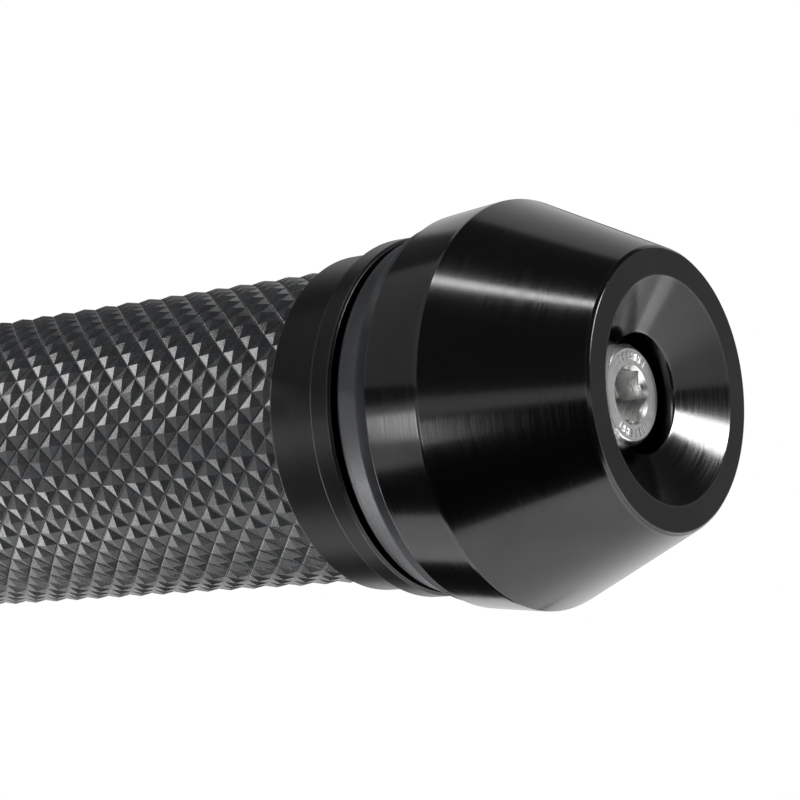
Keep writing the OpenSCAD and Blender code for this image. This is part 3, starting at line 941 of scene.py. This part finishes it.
def level_card(name, colour, x_span, y_span, z):
    """A card that lies level."""
    (x_low, x_high), (y_low, y_high) = x_span, y_span
    corners = [(x_low, y_low, z), (x_high, y_low, z), (x_high, y_high, z), (x_low, y_high, z)]
    return add_card(name, corners, colour)


def make_lights():
    """Soft boxes round the object, each aimed at the weight. The narrow ones draw its bright streaks."""
    middle = Vector((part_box("end_weight")[0].x + 15 * MM, 0, 0))
    along_bar = Vector((1, 0, 0))
    upright = Vector((0, 0, 1))

    def softbox(name, towards, distance, along, size, brightness):
        centre = middle + Vector(towards).normalized() * distance
        add_panel(name, centre, middle, along, size, brightness)

    # The bright streak along the taper, and the broad glow above and below it
    softbox("overhead_strip", (0.06, -0.5, 0.86), 0.42, along_bar, (0.11, 0.03), 16)
    softbox("back_panel", (-0.3, 0.6, 0.75), 0.7, along_bar, (0.6, 0.6), 0.6)
    softbox("low_back_panel", (0.37, 0.83, -0.41), 0.22, along_bar, (0.08, 0.06), 1.6)
    # The fainter streaks in front, on the taper and on the rear band
    softbox("front_strip", (0.004, -0.27, -0.086), 0.28, along_bar, (0.09, 0.055), 4)
    softbox("front_left_panel", (-0.286, -0.274, -0.068), 0.4, upright, (0.075, 0.035), 6)
    # The bright sides of the pyramids that face inboard
    softbox("left_panel", (-0.86, -0.34, 0.34), 0.5, upright, (0.15, 0.24), 8)
    softbox("lower_left_panel", (-0.9, -0.12, -0.36), 0.45, upright, (0.09, 0.15), 8)
    # The bright wedge in the dish, and the flat face
    softbox("right_panel", (1, 0, 0.6), 0.5, upright, (0.24, 0.14), 30)
    softbox("room_panel", (0.53, 0.83, 0.15), 0.7, upright, (0.3, 0.45), 0.35)


def make_cards():
    """A pale floor, dark cards under the object, and a grey flag that shades the weight from the left."""
    reach = 40
    floor_drop = 0.22
    card_drop = 0.115
    level_card("pale_floor", "#FAFAFA", (-reach, reach), (-reach, reach), -floor_drop)
    # Only reflections see the dark cards: they give the glossy parts their dark undersides
    dark_spans = {
        "front_card": ((-0.05, 0.7), (-0.7, -0.05)),
        "left_card": ((-0.05, 0.09), (0.02, 0.15)),
    }
    for name, (x_span, y_span) in dark_spans.items():
        card = level_card(name, "#050505", x_span, y_span, -card_drop)
        card.visible_camera = False
        card.visible_diffuse = False
        card.visible_shadow = False
    flag_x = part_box("end_collar")[0].x - 2 * MM
    near, far = -16 * MM, -90 * MM
    low, high = 3 * MM, 80 * MM
    corners = [(flag_x, near, low), (flag_x, far, low), (flag_x, far, high), (flag_x, near, high)]
    flag = add_card("grey_flag", corners, "#808080")
    flag.visible_camera = False


def make_room():
    """An even white room that the glossy parts see a tenth as bright, so that the panels shape them."""
    world = bpy.data.worlds.new("studio")
    world.use_nodes = True
    tree = world.node_tree
    tree.nodes.clear()
    seen_by = add(tree, "ShaderNodeLightPath").outputs
    even = add(tree, "ShaderNodeMath", {0: seen_by["Is Camera Ray"], 1: seen_by["Is Diffuse Ray"]},
               operation="MAXIMUM")
    level = add(tree, "ShaderNodeMapRange", {"Value": even, 1: 0.0, 2: 1.0, 3: 0.1, 4: 1.0})
    light = add(tree, "ShaderNodeBackground", {"Color": linear("#FFFFFF"), "Strength": level})
    add(tree, "ShaderNodeOutputWorld", {"Surface": light})
    bpy.context.scene.world = world
    bpy.context.scene.view_settings.view_transform = "Standard"


make_camera()
make_lights()
make_cards()
make_room()
